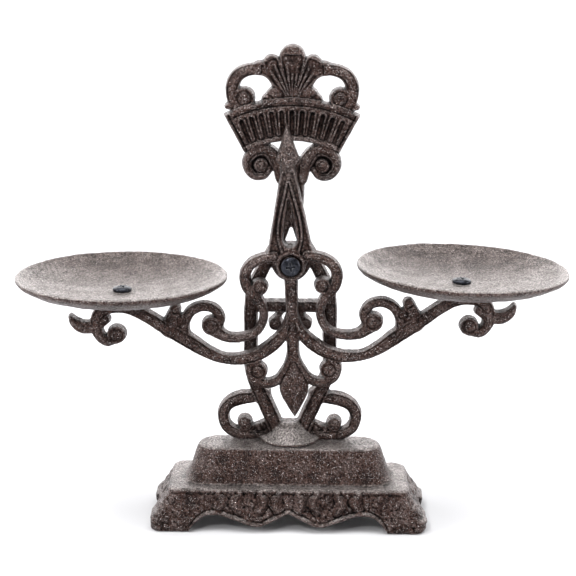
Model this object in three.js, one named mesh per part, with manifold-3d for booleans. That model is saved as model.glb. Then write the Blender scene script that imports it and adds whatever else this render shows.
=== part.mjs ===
// Equal arm balance scale in cast iron: a hollow two-tier base, a scrollwork upright with a fluted
// fan dial and a palmette crest, and a scrollwork beam that rocks on one pivot screw in front of it
// and carries a dished pan at each end. Millimetres, +Z up, +X to the right, +Y to the back.
// z = 0 is the floor under the feet; x = 0 and y = 0 are the planes of the beam's pivot.
import * as THREE from "three";
import { mergeVertices } from "three/addons/utils/BufferGeometryUtils.js";
import Module from "manifold-3d";

const wasm = await Module();
wasm.setup();

// ---- Driving dimensions ----
const PIVOT_Z = 162; // pivot axis above the floor
const GAP = 0.3; // left between pieces that bear on each other

const BEAM = { front: -3.5, back: 3.5, edge: 0.9 }; // depths of the beam casting and its draft
const UPRIGHT = { front: 6.5, back: 14.5, edge: 0.9 }; // depths and draft of the upright

const PAN_X = 103; // pan axis from the pivot
const PAN_R = 64;
const PAN_RIM_Z = -3; // rim above the pivot axis
const PAN_FLOOR = 11; // rim down to the dish floor
const PAN_WALL = 2.2;
const REST_TILT = -2; // degrees of the beam as built: its left end hangs a little low
const PAN_LEAN = { left: 1.9, right: 3.8 }; // degrees that each pan leans on its screw, right side down
const PAN_HOLE_R = 2.5;
const PAN_PAD = 0.4; // raised pad under the screw head

const PIVOT_BORE_R = 2.9;
const PIVOT_SHANK_R = 2.5;
const HUB_R = 12.5; // boss of the upright round the pivot
const HEAD_R = 5.85; // round screw heads
const SEAT_TOP = PAN_RIM_Z - PAN_FLOOR - PAN_WALL - GAP; // top of the pan seats on the beam
const SEAT_R = 7;
const TAP_R = 2.2;
const PAN_SHANK_R = 1.9;

const BASE_Y = 3; // middle of the base behind the pivot plane
const BASE_TOP_Z = 48;
const LEDGE_Z = 26;
const LEDGE_A = 72.6; // half length and half depth of the ledge between the tiers
const LEDGE_B = 25.5;
const BASE_WALL = 4;
const FOOT_A = 84.8; // half length over the feet
const FOOT_B = 31.5; // half depth over the feet
const TOP_A = 55;
const TOP_B = 12.5;

const FAN_Z = 13; // centre of the fan dial's arcs above the pivot
const FAN_OUTER = 87.3;
const FAN_INNER = 60.8;
const FAN_HALF = 28.3; // degrees
const FLUTES = 11;
const FLUTE_PITCH = 4.5; // degrees
const FOOT_BOLT_Y = 7;
const FOOT_BOLT_TOP_Z = 55;
const FOOT_BOLT_R = 2.4;

const rad = THREE.MathUtils.degToRad;

// ---- Solids: joining and cutting ----
function toSolid(geometry) {
  const bare = geometry.clone();
  bare.deleteAttribute("normal");
  bare.deleteAttribute("uv");
  const merged = mergeVertices(bare, 1e-4);
  const triVerts = new Uint32Array(merged.index.array);
  const vertProperties = new Float32Array(merged.attributes.position.array);
  const made = new wasm.Manifold(new wasm.Mesh({ numProp: 3, vertProperties, triVerts }));
  if (made.volume() > 0) {
    return made;
  }
  for (let i = 0; i < triVerts.length; i += 3) {
    const second = triVerts[i + 1];
    triVerts[i + 1] = triVerts[i + 2];
    triVerts[i + 2] = second;
  }
  return new wasm.Manifold(new wasm.Mesh({ numProp: 3, vertProperties, triVerts }));
}

function toGeometry(solid) {
  const mesh = solid.getMesh();
  const geometry = new THREE.BufferGeometry();
  const points = new Float32Array(mesh.vertProperties);
  geometry.setAttribute("position", new THREE.BufferAttribute(points, 3));
  geometry.setIndex(new THREE.BufferAttribute(new Uint32Array(mesh.triVerts), 1));
  geometry.computeVertexNormals();
  return geometry;
}

function join(geometries) {
  return geometries.map(toSolid).reduce((sum, next) => sum.add(next));
}

function cut(solid, geometries) {
  return geometries.map(toSolid).reduce((rest, next) => rest.subtract(next), solid);
}

// A closed skin over rows of points that each go once round the section.
function skin(rows) {
  const n = rows[0].length;
  const positions = rows.flat(2);
  const index = [];
  for (let i = 0; i + 1 < rows.length; i += 1) {
    for (let j = 0; j < n; j += 1) {
      const a = i * n + j;
      const b = i * n + ((j + 1) % n);
      index.push(a, b, b + n, a, b + n, a + n);
    }
  }
  const last = (rows.length - 1) * n;
  for (let j = 1; j + 1 < n; j += 1) {
    index.push(0, j + 1, j, last, last + j, last + j + 1);
  }
  const geometry = new THREE.BufferGeometry();
  geometry.setAttribute("position", new THREE.Float32BufferAttribute(positions, 3));
  geometry.setIndex(index);
  return geometry;
}

// A scroll strand: a smooth line through [x, z, width] points, flat behind and narrower in front.
function strand(points, depth, pieces = Math.round(2.4 * (points.length - 1))) {
  const line = new THREE.CatmullRomCurve3(
    points.map((p) => new THREE.Vector3(p[0], p[1], p[2])),
    false,
    "centripetal",
  );
  const rows = [];
  for (let i = 0; i <= pieces; i += 1) {
    const at = line.getPoint(i / pieces);
    const along = line.getTangent(i / pieces);
    const length = Math.hypot(along.x, along.y);
    const nx = along.y / length;
    const nz = -along.x / length;
    const h = at.z / 2;
    const f = Math.max(h - depth.edge, h * 0.35);
    const section = [
      [-h, depth.back],
      [h, depth.back],
      [f, depth.front],
      [-f, depth.front],
    ];
    rows.push(section.map(([s, y]) => [at.x + nx * s, y, PIVOT_Z + at.y + nz * s]));
  }
  return skin(rows);
}

// A round knob with its axis along Y, the same flat back and draft as a strand, and a low crown.
function knob(x, z, r, depth, rise = 0) {
  const profile = [
    [0, depth.back],
    [r, depth.back],
    [r - depth.edge, depth.front - rise],
    [0, depth.front - rise - 0.4],
  ];
  const points = profile.map(([px, py]) => new THREE.Vector2(px, py));
  return new THREE.LatheGeometry(points, 14).translate(x, 0, PIVOT_Z + z);
}

// A turned piece on the vertical axis through (x, y): [radius, z] points.
function turned(profile, segments, x = 0, y = 0) {
  const points = profile.map(([px, pz]) => new THREE.Vector2(px, pz));
  return new THREE.LatheGeometry(points, segments).rotateX(Math.PI / 2).translate(x, y, 0);
}

// A round bar standing on z0, up to z1.
function barZ(x, y, r, z0, z1, segments = 20) {
  const bar = new THREE.CylinderGeometry(r, r, z1 - z0, segments).rotateX(Math.PI / 2);
  return bar.translate(x, y, (z0 + z1) / 2);
}

// A round bar along Y from y0 to y1.
function barY(x, z, r, y0, y1, segments = 20) {
  const bar = new THREE.CylinderGeometry(r, r, y1 - y0, segments);
  return bar.translate(x, (y0 + y1) / 2, z);
}

function box(x0, x1, y0, y1, z0, z1) {
  const shape = new THREE.BoxGeometry(x1 - x0, y1 - y0, z1 - z0);
  return shape.translate((x0 + x1) / 2, (y0 + y1) / 2, (z0 + z1) / 2);
}

// A plate in the XZ plane: its outline through [x, z] points, from y0 back to y1.
function plate(outline, y0, y1) {
  const shape = new THREE.Shape(outline.map(([x, z]) => new THREE.Vector2(x, z)));
  const solid = new THREE.ExtrudeGeometry(shape, { depth: y1 - y0, bevelEnabled: false });
  return solid.rotateX(Math.PI / 2).translate(0, y1, PIVOT_Z);
}

function flip(points) {
  return points.map(([x, ...rest]) => [-x, ...rest]);
}

// The same strands on both sides of the middle.
function bothSides(lines, depth) {
  return lines.flatMap((line) => [strand(line, depth), strand(flip(line), depth)]);
}

function bothKnobs(list, depth) {
  return list.flatMap(([x, z, r, rise]) => [
    knob(x, z, r, depth, rise),
    knob(-x, z, r, depth, rise),
  ]);
}

// ---- Base: a hollow two-tier casting on four bracket feet ----
function ring(z, a, b, r) {
  const points = [];
  const corners = [
    [a - r, b - r, 0],
    [r - a, b - r, 90],
    [r - a, r - b, 180],
    [a - r, r - b, 270],
  ];
  for (const [x, y, start] of corners) {
    for (let i = 0; i <= 4; i += 1) {
      const angle = rad(start + 22.5 * i);
      points.push([x + r * Math.cos(angle), BASE_Y + y + r * Math.sin(angle), z]);
    }
  }
  return points;
}

// Scalloped lower edge of the long skirts, as [x, height of the opening].
function scallopEdge() {
  const half = [
    [0, 11.5],
    [8, 8],
    [19, 3.6],
    [32, 7.5],
    [44, 10.6],
    [53, 9],
    [60, 2],
    [62, -3],
  ];
  const points = [...flip(half).reverse(), ...half.slice(1)];
  const edge = new THREE.SplineCurve(points.map(([x, z]) => new THREE.Vector2(x, z)));
  return edge.getPoints(36).map((p) => [p.x, p.y - PIVOT_Z]);
}

function makeBase() {
  const outer = skin([
    ring(0, FOOT_A - 0.8, FOOT_B - 0.6, 6),
    ring(2.5, FOOT_A, FOOT_B, 6.5),
    ring(7.5, FOOT_A, FOOT_B, 6.5),
    ring(9.5, FOOT_A - 2.2, FOOT_B - 1, 6.5),
    ring(LEDGE_Z - 1, LEDGE_A + 0.4, LEDGE_B + 0.2, 6),
    ring(LEDGE_Z, LEDGE_A - 0.4, LEDGE_B - 0.6, 6),
    ring(LEDGE_Z + 0.4, 64, 18.2, 13.5),
    ring(LEDGE_Z + 4, 62, 17, 13.5),
    ring(BASE_TOP_Z - 5, TOP_A + 3, TOP_B + 2, 13),
    ring(BASE_TOP_Z - 1, TOP_A + 1.2, TOP_B + 1, 12.5),
    ring(BASE_TOP_Z, TOP_A, TOP_B, 12),
  ]);
  const w = BASE_WALL;
  const inner = skin([
    ring(-1, FOOT_A - w, FOOT_B - w, 4),
    ring(8, FOOT_A - w - 1, FOOT_B - w - 0.6, 4),
    ring(LEDGE_Z - w, LEDGE_A - w, LEDGE_B - w, 4),
    ring(LEDGE_Z - w + 1, 60, 14, 10),
    ring(BASE_TOP_Z - w, TOP_A - 1.5, TOP_B - 2.2, 9),
  ]);
  const opening = scallopEdge();
  const lengthways = plate([[-62, -3 - PIVOT_Z], ...opening, [62, -3 - PIVOT_Z]], -60, 60);
  const arch = new THREE.Shape();
  arch.moveTo(-17, -3);
  arch.lineTo(-17, 2);
  arch.quadraticCurveTo(-13.5, 11, 0, 11);
  arch.quadraticCurveTo(13.5, 11, 17, 2);
  arch.lineTo(17, -3);
  const across = new THREE.ExtrudeGeometry(arch, { depth: 240, bevelEnabled: false, curveSegments: 6 });
  across.rotateX(Math.PI / 2).rotateZ(Math.PI / 2).translate(-120, BASE_Y, 0);
  const shells = [-31, -16, 0, 16, 31].map((x, i) => {
    const wide = i % 2 ? 7.5 : 4.5;
    const hollow = new THREE.SphereGeometry(1, 10, 6).scale(wide, 1.6, 4.6);
    return hollow.translate(x, BASE_Y - (FOOT_B + LEDGE_B) / 2 + 0.6, 19);
  });
  const bolt = barZ(0, FOOT_BOLT_Y, FOOT_BOLT_R + 0.4, 36, 60);
  return cut(join([outer]), [inner, lengthways, across, bolt, ...shells]);
}

// ---- Upright: fan dial, crest, column, lyre and scroll feet in one casting ----
function fanPoint(radius, degrees) {
  return [radius * Math.sin(rad(degrees)), FAN_Z + radius * Math.cos(rad(degrees))];
}

function fanPlate() {
  const outline = [];
  for (let i = -7; i <= 7; i += 1) {
    outline.push(fanPoint(FAN_OUTER, (i * FAN_HALF) / 7));
  }
  for (let i = 7; i >= -7; i -= 1) {
    outline.push(fanPoint(FAN_INNER, (i * FAN_HALF) / 7));
  }
  return plate(outline, UPRIGHT.front - 0.5, UPRIGHT.back);
}

// One flute of the dial: a shallow round-topped groove that widens outwards.
function flute(degrees) {
  const along = FAN_OUTER - FAN_INNER - 7;
  const shape = new THREE.Shape();
  shape.moveTo(-1.7, 0);
  shape.lineTo(-2.3, along - 2.3);
  shape.absarc(0, along - 2.3, 2.3, Math.PI, 0, true);
  shape.lineTo(1.7, 0);
  const groove = new THREE.ExtrudeGeometry(shape, { depth: 3, bevelEnabled: false, curveSegments: 4 });
  groove.rotateX(Math.PI / 2).translate(0, UPRIGHT.front + 1.2, FAN_INNER + 3);
  groove.rotateY(rad(degrees));
  return groove.translate(0, 0, PIVOT_Z + FAN_Z);
}

const CREST = [
  [[9, 111, 7], [17, 116.2, 7.6], [25.4, 116.5, 8], [32.2, 113.4, 8.5], [35.6, 107, 8.6], [35.2, 100, 8.6],
    [33, 94.5, 8]],
  [[33, 94.5, 6], [40.6, 94.6, 4.4]],
  [[2.5, 97, 8], [8, 109, 10], [12.3, 119, 11]],
];
const CREST_KNOBS = [[12.3, 120.3, 5.6, 0], [19.5, 117.6, 4.6, 0], [28.6, 100, 6.8, 0.4], [10.5, 101.5, 5.4, 0.2],
  [14.6, 98.8, 4, 0]];
const PETAL = [[0, 96, 12], [0, 108, 13], [0, 118, 15.4], [0, 124, 16]];

const VOLUTES = [
  [[6, 51, 8], [8.6, 62, 9], [14, 68.6, 7.6], [21, 68.6, 6.8], [26.6, 63.6, 6.2], [26.9, 57.4, 5.6],
    [22.8, 52.8, 5.2], [16.6, 52.8, 5], [13.4, 56.6, 5]],
];

const LYRE = [
  [[3, 24, 7], [8, 12, 8], [13.5, 2, 8.4], [18.5, -8, 8.8], [22.8, -18, 9.2], [24.3, -30, 9.2],
    [24.3, -44, 9.2], [24.5, -58, 9], [24.2, -68, 9], [21.4, -77, 9.6], [17, -86.5, 10.4], [12.6, -96.5, 10.4],
    [8.6, -105.5, 10], [6.5, -112, 10]],
];

// Ground of the scroll feet below their knobs, at the right.
const FOOT_WEB = [[6, -114], [31, -114], [31, -103.5], [22, -104.6], [15.5, -101.6], [8, -104]];

const SCROLL_FEET = [
  [[15, -84, 7], [22, -86.6, 8], [31, -88, 9], [38, -91.6, 8.4], [41.4, -98, 8], [39.5, -106, 7.6],
    [33, -110.5, 7.6], [24, -111.5, 7], [10, -112, 6]],
];

// Half-round foot boss in front of the plate, about (0, 10): [radius, height].
const BOSS = [[0, 47], [18.6, 47], [18.6, 49.8], [17.4, 50.8], [15, 51.6], [11.6, 54], [8.6, 57], [7, 59.8], [0, 61.6]];

function makeUpright() {
  const thick = { ...UPRIGHT, front: UPRIGHT.front + 0.8 };
  const pieces = [
    ...bothSides(LYRE, UPRIGHT),
    ...bothSides(SCROLL_FEET, thick),
    ...bothSides(VOLUTES, UPRIGHT),
    ...bothSides(CREST, thick),
    strand([[0, 22, 10], [0, 32, 15], [0, 46, 16], [0, 62, 13]], UPRIGHT, 4),
    strand(PETAL, thick, 8),
    knob(0, 124.6, 8, thick),
    strand([[-23, -28, 8.2], [0, -28, 8], [23, -28, 8.2]], UPRIGHT, 4),
    ...bothSides([[[5.6, -31, 5], [9, -37, 5]]], UPRIGHT),
    ...bothKnobs([[18.4, 59.6, 4, 0.4], [9, -39, 4.8, 0.2]], UPRIGHT),
    ...bothKnobs([[19.8, 60.4, 8.8, 0]], { ...UPRIGHT, front: UPRIGHT.front + 1.8 }),
    ...bothKnobs([[28, -103.5, 5, 0.6], ...CREST_KNOBS], thick),
    plate(FOOT_WEB, thick.front + 0.6, UPRIGHT.back),
    plate(flip(FOOT_WEB).reverse(), thick.front + 0.6, UPRIGHT.back),
    strand([[28, -112, 8], [28, -104, 6]], thick, 3),
    strand([[-28, -112, 8], [-28, -104, 6]], thick, 3),
    fanPlate(),
    strand([[-30, -112.6, 5], [30, -112.6, 5]], { ...UPRIGHT, front: UPRIGHT.front + 0.4 }, 2),
    barY(0, PIVOT_Z, HUB_R, UPRIGHT.front, UPRIGHT.back, 28),
    box(-5, 5, UPRIGHT.front, UPRIGHT.back, PIVOT_Z - 114, PIVOT_Z - 100),
    turned(BOSS, 24, 0, 10),
  ];
  const floor = BASE_TOP_Z + GAP;
  const cuts = [
    box(-60, 60, -40, 60, BASE_TOP_Z - 20, floor),
    box(-40, 40, UPRIGHT.back, 60, 20, 82),
    barY(0, PIVOT_Z, PIVOT_BORE_R, -20, 40),
    barZ(0, FOOT_BOLT_Y, FOOT_BOLT_R + GAP, 36, FOOT_BOLT_TOP_Z + 0.4),
  ];
  for (let i = 0; i < FLUTES; i += 1) {
    cuts.push(flute((i - (FLUTES - 1) / 2) * FLUTE_PITCH));
  }
  return cut(join(pieces), cuts);
}

// ---- Beam: pointer, blade, heart loops, scroll arms, pan seats and pendant in one casting ----
const HEART = [
  [[10, 6, 6.4], [17.4, 4.6, 6.8], [23.8, 1.4, 7.2], [27.8, -5, 7.4], [27, -12.5, 7.4], [22, -18.5, 7.2],
    [18, -25, 6.2], [17.6, -34, 5.8], [22, -41.2, 5.8], [31, -44.4, 6.2], [40, -44, 7], [46.6, -40, 8.6]],
];

const ARMS = [
  [[2.6, -34, 5], [5, -41.5, 7.4], [11, -48.4, 8.8], [21, -55.2, 8.4], [32, -58, 7.8], [43, -57.4, 7],
    [53, -52.8, 8.4], [62, -46.8, 9.8], [71, -41, 9.8], [80, -35.4, 8.8], [89, -29.4, 8.4], [98, -24.6, 8.4],
    [108, -22.8, 9], [115.6, -25.4, 9], [119.4, -31.8, 8.6], [118.6, -40, 7.6], [113.6, -44.8, 6.8],
    [108.2, -43.4, 6]],
];

const HOOKS = [
  [[66, -43, 7], [65.8, -34.6, 7], [61.2, -27, 7], [54, -24.2, 6.8], [47, -26.4, 6.6], [44, -32.4, 6.8],
    [46.6, -38.6, 6.4]],
  [[75, -38, 12], [72.6, -31, 10], [71, -25, 7.4]],
  [[114, -31, 7], [121, -35, 8.6], [127.5, -35.6, 8.6], [132.6, -32.8, 7], [135.6, -28.2, 4]],
];
const HOOK_KNOBS = [[67.4, -32, 3.4, 0], [70.8, -25.4, 3.2, 0], [135.6, -28.4, 1.9, 0]];

const LOWER_CURLS = [
  [[1, -56, 5], [4.5, -65, 6], [10, -72.4, 6.6], [18, -74.2, 6.6], [24.8, -70.6, 7], [26.4, -63.6, 6.6],
    [22.4, -60, 6]],
];

function makeBeam() {
  const thin = { ...BEAM, front: BEAM.front + 0.6 };
  const pieces = [
    ...bothSides(HEART, BEAM),
    ...bothSides(ARMS, BEAM),
    ...bothSides(HOOKS, thin),
    ...bothSides(LOWER_CURLS, thin),
    ...bothKnobs([[19, -12.8, 5.4, 0.4], [49.4, -36.4, 6.4, 0.4], [107.6, -40.4, 6.2, 0.4], [21.8, -66, 6.2, 0.2]], BEAM),
    ...bothKnobs(HOOK_KNOBS, thin),
    strand([[24, -17, 6], [19, -13, 6]], BEAM, 2),
    strand([[-24, -17, 6], [-19, -13, 6]], BEAM, 2),
    strand([[0, -5, 9], [0, -26, 8.2], [0, -40, 8.4], [0, -50, 8.2], [0, -66, 7.4]], BEAM, 4),
    strand([[0, -62, 5], [0, -70, 12.6], [0, -77, 18.4], [0, -84.6, 12.8], [0, -96.6, 1.2]], thin, 10),
    strand([[0, 86, 1.2], [0, 76, 7.4], [0, 65, 15.2], [0, 61.4, 8.8], [0, 56, 8.6]], thin, 12),
    plate([[-4.2, 60], [4.2, 60], [14, 8], [10, 0], [-10, 0], [-14, 8]], BEAM.front + 1, BEAM.back),
    strand([[0, 51, 3], [0, 40, 8.4], [0, 26, 14.6], [0, 18, 15.6], [0, 10, 12]], BEAM, 8),
    barY(0, PIVOT_Z, 9.4, BEAM.front, BEAM.back, 24),
  ];
  for (const side of [-1, 1]) {
    const seat = barZ(0, 0, SEAT_R, PIVOT_Z - 26, PIVOT_Z + SEAT_TOP);
    pieces.push(toPan(seat, side));
  }
  const slot = new THREE.Shape();
  slot.moveTo(0, 40.5);
  slot.lineTo(-3.75, 17);
  slot.absarc(0, 15.9, 3.9, rad(164), rad(376), false);
  slot.lineTo(0, 40.5);
  const window = new THREE.ExtrudeGeometry(slot, { depth: 40, bevelEnabled: false, curveSegments: 10 });
  window.rotateX(Math.PI / 2).translate(0, 20, PIVOT_Z);
  const cuts = [window, barY(0, PIVOT_Z, PIVOT_BORE_R, -20, 40)];
  for (const side of [-1, 1]) {
    const tap = barZ(0, 0, TAP_R, PIVOT_Z + SEAT_TOP - 10, PIVOT_Z + SEAT_TOP + 10, 16);
    cuts.push(toPan(tap, side));
  }
  return cut(join(pieces), cuts);
}

// Puts a piece that is built on the vertical through the pivot on a pan's axis, leaning about its seat.
function toPan(geometry, side) {
  const z = PIVOT_Z + SEAT_TOP;
  const lean = side > 0 ? PAN_LEAN.right : PAN_LEAN.left;
  return geometry.translate(0, 0, -z).rotateY(rad(lean)).translate(side * PAN_X, 0, z);
}

// Turns a piece of the level beam to the beam's rest position.
function toRest(geometry) {
  return geometry.translate(0, 0, -PIVOT_Z).rotateY(rad(REST_TILT)).translate(0, 0, PIVOT_Z);
}

// ---- Pans ----
function makePan() {
  const z = PIVOT_Z + PAN_RIM_Z;
  const floor = -PAN_FLOOR;
  const profile = [
    [PAN_HOLE_R, floor + PAN_PAD],
    [6.8, floor + PAN_PAD],
    [7.4, floor],
    [20, floor],
    [31, floor + 0.8],
    [43, floor + 2.8],
    [54, floor + 6.2],
    [61, floor + 9.9],
    [62, -0.2],
    [63.1, 0],
    [PAN_R, -0.7],
    [PAN_R, -2.4],
    [62.4, -4.1],
    [55.4, -7.9],
    [44.4, -11.3],
    [29, floor - PAN_WALL + 0.7],
    [9, floor - PAN_WALL],
    [PAN_HOLE_R, floor - PAN_WALL],
    [PAN_HOLE_R, floor + PAN_PAD],
  ];
  return turned(profile.reverse().map(([r, h]) => [r, z + h]), 40);
}

// ---- Screws, nut and washers ----
// A round-head screw standing on z = 0 with its shank below; depth of the cross recess 1.8.
function roundHeadScrew(headR, headH, shankR, shankL) {
  const tip = Math.min(0.8, shankR * 0.4);
  const body = turned(
    [
      [0, -shankL],
      [shankR - tip, -shankL],
      [shankR, -shankL + tip],
      [shankR, 0],
      [headR, 0],
      [headR, headH * 0.25],
      [headR * 0.9, headH * 0.6],
      [headR * 0.62, headH * 0.9],
      [headR * 0.3, headH],
      [0, headH],
    ],
    18,
  );
  const blade = (turn) => {
    const wing = new THREE.CylinderGeometry(headR * 0.52, headR * 0.3, 2, 4);
    wing.rotateY(Math.PI / 4).scale(1, 1, 0.24).rotateX(Math.PI / 2).rotateZ(turn);
    return wing.translate(0, 0, headH - 0.8);
  };
  return cut(join([body]), [blade(0), blade(Math.PI / 2)]);
}

function ringPiece(inner, outer, height) {
  return turned([[inner, 0], [outer, 0], [outer, height], [inner, height], [inner, 0]], 20);
}

function hexNut(flat, bore, height) {
  const body = new THREE.CylinderGeometry(flat / Math.sqrt(3), flat / Math.sqrt(3), height, 6);
  body.rotateX(Math.PI / 2).translate(0, 0, height / 2);
  const hole = new THREE.CylinderGeometry(bore, bore, height + 2, 16);
  hole.rotateX(Math.PI / 2).translate(0, 0, height / 2);
  return cut(join([body]), [hole]);
}

// ---- Materials ----
const IRON = { color: 0x3b3230, roughness: 0.62, metalness: 0.55 };
const PAN_IRON = { color: 0x4a4341, roughness: 0.5, metalness: 0.6 };
const BLACK_STEEL = { color: 0x1d1e22, roughness: 0.35, metalness: 0.85 };

const scale = new THREE.Group();

function add(name, geometry, look, parent = scale) {
  const mesh = new THREE.Mesh(geometry, new THREE.MeshStandardMaterial({ ...look, flatShading: true }));
  mesh.name = name;
  parent.add(mesh);
  return mesh;
}

// Stand.
add("base", toGeometry(makeBase()), IRON);
add("upright", toGeometry(makeUpright()), IRON);

// Foot bolt, from below through the base into the upright.
const footBoltHead = BASE_TOP_Z - BASE_WALL - GAP - 1.2 - GAP;
const footBoltGeometry = roundHeadScrew(5, 2.8, FOOT_BOLT_R, FOOT_BOLT_TOP_Z - footBoltHead);
const footBolt = add("foot_bolt", toGeometry(footBoltGeometry), BLACK_STEEL);
footBolt.rotation.x = Math.PI;
footBolt.position.set(0, FOOT_BOLT_Y, footBoltHead);
const footWasher = add("foot_washer", ringPiece(2.8, 5.8, 1.2), BLACK_STEEL);
footWasher.position.set(0, FOOT_BOLT_Y, BASE_TOP_Z - BASE_WALL - GAP - 1.2);

// Pivot screw through beam, spacer and upright, with a washer and a nut behind.
const pivot = new THREE.Group();
pivot.position.set(0, 0, PIVOT_Z);
scale.add(pivot);
const pivotScrew = add("pivot_screw", toGeometry(roundHeadScrew(HEAD_R, 3.2, PIVOT_SHANK_R, 24)), BLACK_STEEL, pivot);
pivotScrew.rotation.x = Math.PI / 2;
pivotScrew.position.y = BEAM.front - GAP;
const behind = [
  ["pivot_spacer", ringPiece(PIVOT_BORE_R, 7.5, UPRIGHT.front - BEAM.back - 2 * GAP), BEAM.back + GAP],
  ["pivot_washer", ringPiece(PIVOT_BORE_R, 6.5, 1.2), UPRIGHT.back + GAP],
  ["pivot_nut", toGeometry(hexNut(9, PIVOT_BORE_R, 3.6)), UPRIGHT.back + GAP + 1.2 + GAP],
];
for (const [name, geometry, y] of behind) {
  const piece = add(name, geometry, BLACK_STEEL, pivot);
  piece.rotation.x = -Math.PI / 2;
  piece.position.y = y;
}

// Beam with its pans, each held by one screw from above.
add("beam", toRest(toGeometry(makeBeam())), IRON);
const screwLength = 11;
for (const [word, side] of [["left", -1], ["right", 1]]) {
  const pan = toPan(makePan(), side);
  const screw = toGeometry(roundHeadScrew(5.8, 2.9, PAN_SHANK_R, screwLength));
  screw.translate(0, 0, PIVOT_Z + PAN_RIM_Z - PAN_FLOOR + PAN_PAD + GAP);
  add(`pan_${word}`, toRest(pan), PAN_IRON);
  add(`pan_screw_${word}`, toRest(toPan(screw, side)), BLACK_STEEL);
}

export default scale;
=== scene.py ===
"""Looks of the equal arm balance scale: cast-iron base, upright, beam and pans, and their screws.

Each casting is described as a solid field in millimetres (negative inside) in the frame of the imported
CAD model, and turned into a mesh by surface nets. Lengths are millimetres until a mesh is made.
"""

import math

import bpy
import numpy as np
from mathutils import Matrix, Vector


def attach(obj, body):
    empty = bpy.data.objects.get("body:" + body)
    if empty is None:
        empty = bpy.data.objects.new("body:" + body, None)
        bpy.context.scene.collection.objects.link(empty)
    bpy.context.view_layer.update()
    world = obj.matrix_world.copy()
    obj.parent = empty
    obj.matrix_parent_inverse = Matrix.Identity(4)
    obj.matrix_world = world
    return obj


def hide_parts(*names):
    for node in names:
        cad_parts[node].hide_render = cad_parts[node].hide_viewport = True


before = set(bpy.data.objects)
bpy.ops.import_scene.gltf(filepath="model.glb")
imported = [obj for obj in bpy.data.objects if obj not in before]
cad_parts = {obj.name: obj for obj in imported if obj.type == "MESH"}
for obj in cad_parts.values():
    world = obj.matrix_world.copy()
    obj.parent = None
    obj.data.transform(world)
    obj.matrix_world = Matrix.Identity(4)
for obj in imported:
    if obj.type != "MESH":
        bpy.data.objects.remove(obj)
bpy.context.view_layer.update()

MM = 0.001
STEP = 0.5  # grid of the castings

# Sizes in mm, as in the CAD. The beam, upright and pans are described with the pivot at height 0.
PIVOT_Z = 162.0
REST_TILT = -2.0  # degrees, left end low
GAP = 0.3  # between a piece and its neighbour on the same screw
BEAM_FRONT, BEAM_BACK = -3.5, 3.5
UP_FRONT, UP_BACK = 6.5, 14.5
PIVOT_BORE_R = 2.9
PAN_X, PAN_RIM_Z, PAN_FLOOR, PAN_WALL, PAN_PAD = 103.0, -3.0, 11.0, 2.2, 0.4
PAN_LEAN = {-1: 1.9, 1: 3.8}  # degrees, right side down, for the left and the right pan
PAN_HOLE_R = 2.5
SEAT_TOP = PAN_RIM_Z - PAN_FLOOR - PAN_WALL - GAP
BASE_Y, BASE_TOP_Z, LEDGE_Z = 3.0, 48.0, 26.0
FOOT_BOLT_Y, FOOT_BOLT_R = 7, 2.8
FAN_Z, FAN_OUTER, FAN_INNER, FAN_HALF = 13.0, 87.3, 60.8, 28.3  # the dial's centre, radii and half angle
DRAFT, EDGE = 0.11, 0.9  # taper of a flat casting's sides, and the rounding of its edges
WEAR_AND_SHADE_SPAN = 0.22  # how far an edge stands out when it is fully worn, and a crevice sinks where its painted shade is darkest


# ---- Noise and fields ----
def lattice(seed, n=32):
    return np.random.default_rng(seed).uniform(-1, 1, (n, n, n)).astype(np.float32)


LATTICES = [lattice(seed) for seed in (11, 23, 37, 51)]


def noise(p, scale, which=0):
    """Smooth value noise, about -1 to 1, at points p (n, 3); scale is the size of its lumps."""
    table = LATTICES[which]
    n = table.shape[0]
    q = p / scale
    base = np.floor(q).astype(int)
    f = q - base
    f = f * f * (3 - 2 * f)
    total = np.zeros(len(p), np.float32)
    for dx in (0, 1):
        for dy in (0, 1):
            for dz in (0, 1):
                w = (
                    (f[:, 0] if dx else 1 - f[:, 0])
                    * (f[:, 1] if dy else 1 - f[:, 1])
                    * (f[:, 2] if dz else 1 - f[:, 2])
                )
                i, j, k = ((base[:, a] + d) % n for a, d in enumerate((dx, dy, dz)))
                total += w * table[i, j, k]
    return total


def ridge(value, at, width):
    """A rounded ridge of height 1 where value is at, about width wide on each side."""
    return np.exp(-(((value - at) / width) ** 2))


def smin(a, b, k):
    """The lower of two fields, with their meeting rounded over a band of k."""
    h = np.maximum(k - np.abs(a - b), 0) / k
    return np.minimum(a, b) - h * h * k * 0.25


def smax(a, b, k):
    """The higher of two fields, rounded in the same way."""
    return -smin(-a, -b, k)


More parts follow.
